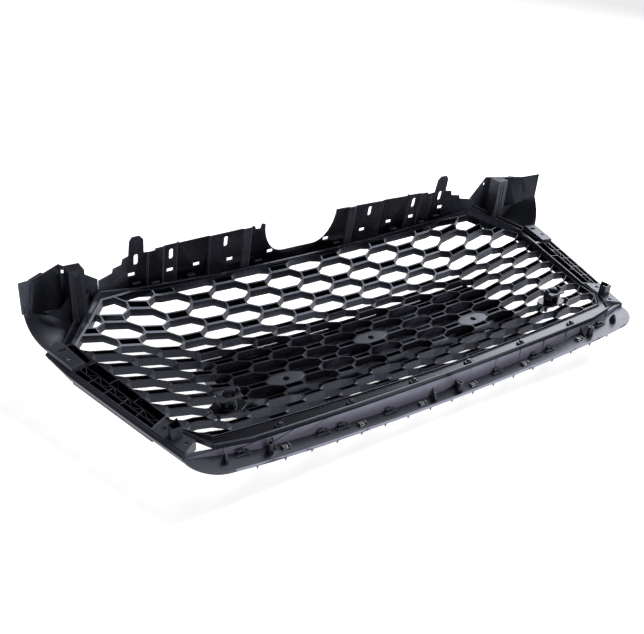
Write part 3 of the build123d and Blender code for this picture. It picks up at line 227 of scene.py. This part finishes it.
    def _math(self, tree: bpy.types.NodeTree, kind: str, first: bpy.types.NodeSocket,
              second: bpy.types.NodeSocket | float) -> bpy.types.NodeSocket:
        """Adds a math node.

        Args:
            tree: Node tree that gets the node.
            kind: Operation name.
            first: Socket of the first value.
            second: Socket or number of the second value.

        Returns:
            The result socket.
        """
        node = tree.nodes.new("ShaderNodeMath")
        node.operation = kind
        tree.links.new(first, node.inputs[0])
        if isinstance(second, float):
            node.inputs[1].default_value = second
        else:
            tree.links.new(second, node.inputs[1])
        return node.outputs[0]


SATIN_BLACK = Finish(
    name="satin_black_moulding", slot=Slot.SATIN,
    deep=(0.0008, 0.0008, 0.0012), light=(0.0018, 0.0018, 0.0027), wear_and_highlight_colour=(0.13, 0.135, 0.18),
    roughness=(0.20, 0.32), grain=1300.0, grain_height=0.00002, specular=0.32, wear_and_highlight_strength=1.0, streak=0.15,
)
FINE_GRAIN = Finish(
    name="fine_grain_black", slot=Slot.TEXTURED,
    deep=(0.0026, 0.0027, 0.0038), light=(0.0062, 0.0065, 0.0090), wear_and_highlight_colour=(0.10, 0.105, 0.14),
    roughness=(0.34, 0.50), grain=1700.0, grain_height=0.00005, specular=0.45, wear_and_highlight_strength=0.9, streak=0.25,
)
SLATE_SATIN = Finish(
    name="slate_satin", slot=Slot.SLATE,
    deep=(0.016, 0.0165, 0.022), light=(0.030, 0.031, 0.040), wear_and_highlight_colour=(0.11, 0.115, 0.15),
    roughness=(0.30, 0.44), grain=1100.0, grain_height=0.00003, specular=0.5, wear_and_highlight_strength=0.8, streak=0.3,
)
# Pale lavender painted on the lip strip's upright wall: a painted reflection of the bright floor and
# lights.
LAVENDER_PAINTED_REFLECTION = Finish(
    name="lavender_painted_reflection", slot=Slot.SLATE,
    deep=(0.150, 0.145, 0.195), light=(0.205, 0.198, 0.262), wear_and_highlight_colour=(0.30, 0.30, 0.38),
    roughness=(0.20, 0.34), grain=900.0, grain_height=0.00002, specular=0.8, wear_and_highlight_strength=0.5, streak=0.4,
)
# Pale band on the rounded edges: a painted highlight standing in for the light that the edges catch.
PAINTED_EDGE_HIGHLIGHT = Finish(
    name="painted_edge_highlight", slot=Slot.SATIN,
    deep=(0.028, 0.029, 0.040), light=(0.075, 0.078, 0.102), wear_and_highlight_colour=(0.18, 0.185, 0.23),
    roughness=(0.22, 0.36), grain=1500.0, grain_height=0.00002, specular=0.5, wear_and_highlight_strength=0.9,
)
ZINC = Finish(
    name="dull_zinc", slot=Slot.STEEL,
    deep=(0.20, 0.20, 0.21), light=(0.33, 0.33, 0.345), wear_and_highlight_colour=(0.55, 0.55, 0.56),
    roughness=(0.30, 0.48), grain=900.0, grain_height=0.00003, metal=0.85, specular=0.5, wear_and_highlight_strength=0.5,
    edge_wear_and_highlight=False,
)


def deselect() -> None:
    """Leaves nothing selected and the scene in object mode."""
    if bpy.context.object is not None and bpy.context.object.mode != "OBJECT":
        bpy.ops.object.mode_set(mode="OBJECT")
    bpy.ops.object.select_all(action="DESELECT")


def pick(piece: bpy.types.Object) -> None:
    """Selects one piece and makes it the active one."""
    deselect()
    piece.select_set(True)
    bpy.context.view_layer.objects.active = piece


def settle(piece: bpy.types.Object) -> bpy.types.Object:
    """Makes a finished piece ride on the grille.

    Args:
        piece: Finished mesh object, in place.

    Returns:
        The same piece.
    """
    pick(piece)
    bpy.ops.object.transform_apply(location=True, rotation=True, scale=True)
    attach(piece, BODY)
    deselect()
    return piece


def softened(node: str, finish: Finish, radius: float, steps: int = 2) -> bpy.types.Object:
    """Copies a CAD node, joins its loose faces, rounds its sharp edges and shows it instead.

    Args:
        node: Name of the CAD node.
        finish: Finish that covers it.
        radius: Width of the rounding, in metres.
        steps: Segments across each rounding.

    Returns:
        The new piece.
    """
    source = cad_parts[node]
    piece = bpy.data.objects.new(node + "_moulding", source.data.copy())
    bpy.context.scene.collection.objects.link(piece)
    piece.data.materials.clear()
    piece.data.materials.append(finish.material())
    piece.data.materials.append(PAINTED_EDGE_HIGHLIGHT.material())
    pick(piece)
    bpy.ops.object.mode_set(mode="EDIT")
    bpy.ops.mesh.select_all(action="SELECT")
    bpy.ops.mesh.remove_doubles(threshold=MERGE_DISTANCE)
    bpy.ops.mesh.tris_convert_to_quads(face_threshold=FLAT_WITHIN, shape_threshold=QUAD_SKEW)
    bpy.ops.object.mode_set(mode="OBJECT")
    rounding = piece.modifiers.new("rounding", "BEVEL")
    rounding.width = radius
    rounding.segments = steps
    rounding.limit_method = "ANGLE"
    rounding.angle_limit = ROUND_ABOVE
    rounding.miter_outer = "MITER_ARC"
    # Roundings of a flagged finish get the painted edge highlight material.
    if finish.edge_wear_and_highlight:
        rounding.material = PAINTED_HIGHLIGHT_SLOT
    bpy.ops.object.modifier_apply(modifier=rounding.name)
    bpy.ops.object.shade_smooth_by_angle(angle=SMOOTH_BELOW)
    flat = piece.modifiers.new("flat_faces", "WEIGHTED_NORMAL")
    flat.keep_sharp = True
    flat.weight = FACE_WEIGHT
    bpy.ops.object.modifier_apply(modifier=flat.name)
    settle(piece)
    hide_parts(node)
    LOG.info("%s: %d faces", piece.name, len(piece.data.polygons))
    return piece


@dataclass
class MeshField:
    """The honeycomb with the bars that border it above and below."""

    web_rounding: float = 0.55 * MM
    bar_rounding: float = 0.6 * MM

    def build(self) -> list[bpy.types.Object]:
        """Builds the honeycomb and its two bars.

        Returns:
            The pieces made.
        """
        return [
            softened("honeycomb_mesh", SATIN_BLACK, self.web_rounding, steps=1),
            softened("bottom_bar", SATIN_BLACK, self.bar_rounding),
            softened("top_bar", SATIN_BLACK, self.bar_rounding),
        ]


@dataclass
class PlateCarrier:
    """Flat number plate carrier in front of the honeycomb, with its fixing pads."""

    rounding: float = 0.8 * MM
    pads: tuple[str, ...] = ("plate_pad_left", "plate_pad_center", "plate_pad_right")

    def build(self) -> list[bpy.types.Object]:
        """Builds the carrier and its pads.

        Returns:
            The pieces made.
        """
        made = [softened("plate_carrier_panel", SATIN_BLACK, self.rounding)]
        made += [softened(pad, SLATE_SATIN, self.rounding * 0.6) for pad in self.pads]
        return made


@dataclass
class SupportPanel:
    """Upright flange along the top edge, with slots, windows, hooks and latch cut-out."""

    rounding: float = 0.4 * MM

    def build(self) -> list[bpy.types.Object]:
        """Builds the panel.

        Returns:
            The pieces made.
        """
        return [softened("upper_support_panel", SATIN_BLACK, self.rounding)]


@dataclass
class LipStrip:
    """Strip along the bottom edge with its clips, spring nuts, bosses and fins."""

    rounding: float = 0.4 * MM
    smallest_painted_reflection: float = 60.0 * MM * MM
    painted_reflection_facing: float = -0.8

    def build(self) -> list[bpy.types.Object]:
        """Builds the strip and its fittings.

        Returns:
            The pieces made.
        """
        return [
            self._strip(),
            softened("trim_clips", SATIN_BLACK, self.rounding),
            softened("spring_nuts", ZINC, self.rounding * 0.6),
            softened("bar_clips", SATIN_BLACK, self.rounding),
            softened("locating_bosses", FINE_GRAIN, self.rounding),
            softened("locating_fins", FINE_GRAIN, self.rounding),
        ]

    def _strip(self) -> bpy.types.Object:
        """Builds the strip, whose upright wall is smoother than its floor and carries a pale lavender
        painted reflection.

        Returns:
            The strip.
        """
        strip = softened("lip_strip", SLATE_SATIN, self.rounding)
        strip.data.materials.append(LAVENDER_PAINTED_REFLECTION.material())
        # Large wall faces turned toward -Y get the pale painted reflection.
        for face in strip.data.polygons:
            if face.normal.y < self.painted_reflection_facing and face.area > self.smallest_painted_reflection:
                face.material_index = PAINTED_REFLECTION_SLOT
        return strip


@dataclass
class Flank:
    """One side of the grille: rail, trim band, blocks, corner frame, wing and headlamp post."""

    side: Side
    rounding: float = 0.5 * MM
    finishes: dict[str, Finish] = field(default_factory=lambda: {
        "side_rail": SATIN_BLACK,
        "side_trim": SLATE_SATIN,
        "upper_block": SLATE_SATIN,
        "lower_block": SLATE_SATIN,
        "box_clip": SATIN_BLACK,
        "corner_frame": SATIN_BLACK,
        "wing": FINE_GRAIN,
        "headlamp_post": FINE_GRAIN,
    })

    def build(self) -> list[bpy.types.Object]:
        """Builds every piece of the flank.

        Returns:
            The pieces made.
        """
        return [softened(f"{name}_{self.side.value}", finish, self.rounding)
                for name, finish in self.finishes.items()]


@dataclass
class SensorMount:
    """Parking sensor socket on the honeycomb, with its retaining clip."""

    side: Side
    rounding: float = 0.4 * MM

    def build(self) -> list[bpy.types.Object]:
        """Builds the socket and its retainer.

        Returns:
            The pieces made.
        """
        return [
            softened(f"sensor_holder_{self.side.value}", SATIN_BLACK, self.rounding),
            softened(f"sensor_retainer_{self.side.value}", FINE_GRAIN, self.rounding),
        ]


@dataclass(frozen=True)
class Lamp:
    """Square soft light that faces the grille."""

    name: str
    place: tuple[float, float, float]
    size: float
    power: float

    def hang(self, target: tuple[float, float, float]) -> None:
        """Adds the light to the scene.

        Args:
            target: Point that it faces.
        """
        lamp = bpy.data.lights.new(self.name, "AREA")
        lamp.shape = "SQUARE"
        lamp.size = self.size
        lamp.energy = self.power
        holder = bpy.data.objects.new(self.name, lamp)
        bpy.context.scene.collection.objects.link(holder)
        holder.location = self.place
        direction = Vector(target) - Vector(self.place)
        holder.rotation_euler = direction.to_track_quat("-Z", "Y").to_euler()


@dataclass
class Studio:
    """Pale floor, soft lights and camera."""

    floor_size: float = 60.0
    floor_drop: float = 0.5 * MM
    floor_colour: tuple[float, float, float] = (0.93, 0.93, 0.94)
    floor_roughness: float = 0.9
    floor_glow: float = 0.72
    air_colour: tuple[float, float, float] = (0.97, 0.97, 1.0)
    air_glow: float = 0.12
    target: tuple[float, float, float] = (0.0, 0.0, 0.05)
    lamps: tuple[Lamp, ...] = (
        Lamp("key_light", place=(1.9, 0.5, 1.9), size=2.0, power=115.0),
        Lamp("fill_light", place=(-0.4, -2.2, 0.9), size=1.2, power=16.0),
    )
    eye: tuple[float, float, float] = (-0.7179, -0.8680, 0.7062)
    tilt: tuple[float, float, float] = (59.624, -3.790, -33.798)
    lens: float = 46.30
    sensor: float = 36.0
    near: float = 0.05
    far: float = 200.0

    def build(self) -> None:
        """Builds the floor, the lights and the camera."""
        bpy.context.scene.view_settings.view_transform = "Standard"
        self._floor()
        self._sky()
        for lamp in self.lamps:
            lamp.hang(self.target)
        self._camera()

    def _floor(self) -> None:
        """Adds the floor, which isn't part of the object."""
        deselect()
        bpy.ops.mesh.primitive_plane_add(size=self.floor_size, location=(0.0, 0.0, -self.floor_drop))
        floor = bpy.context.object
        floor.name = "studio_floor"
        paper = bpy.data.materials.new("pale_paper")
        paper.use_nodes = True
        skin = paper.node_tree.nodes["Principled BSDF"]
        skin.inputs["Base Color"].default_value = (*self.floor_colour, 1.0)
        skin.inputs["Roughness"].default_value = self.floor_roughness
        skin.inputs["Emission Color"].default_value = (1.0, 1.0, 1.0, 1.0)
        skin.inputs["Emission Strength"].default_value = self.floor_glow
        floor.data.materials.append(paper)

    def _sky(self) -> None:
        """Lights the scene evenly from all round."""
        world = bpy.data.worlds.new("studio_air")
        world.use_nodes = True
        glow = world.node_tree.nodes["Background"]
        glow.inputs["Color"].default_value = (*self.air_colour, 1.0)
        glow.inputs["Strength"].default_value = self.air_glow
        bpy.context.scene.world = world

    def _camera(self) -> None:
        """Adds the camera and makes it the scene's own."""
        lens = bpy.data.cameras.new("camera")
        lens.lens = self.lens
        lens.sensor_width = self.sensor
        lens.sensor_fit = "HORIZONTAL"
        lens.clip_start = self.near
        lens.clip_end = self.far
        holder = bpy.data.objects.new("camera", lens)
        bpy.context.scene.collection.objects.link(holder)
        holder.location = self.eye
        holder.rotation_euler = [math.radians(angle) for angle in self.tilt]
        bpy.context.scene.camera = holder


def main() -> None:
    """Builds the sub-assemblies in order, then the studio."""
    logging.basicConfig(level=logging.INFO, format="%(name)s: %(message)s")
    assemblies = [MeshField(), PlateCarrier(), SupportPanel(), LipStrip()]
    assemblies += [Flank(side) for side in Side]
    assemblies += [SensorMount(side) for side in Side]
    for assembly in assemblies:
        for piece in assembly.build():
            LOG.info("%s in place", piece.name)
    Studio().build()


if __name__ == "__main__":
    main()
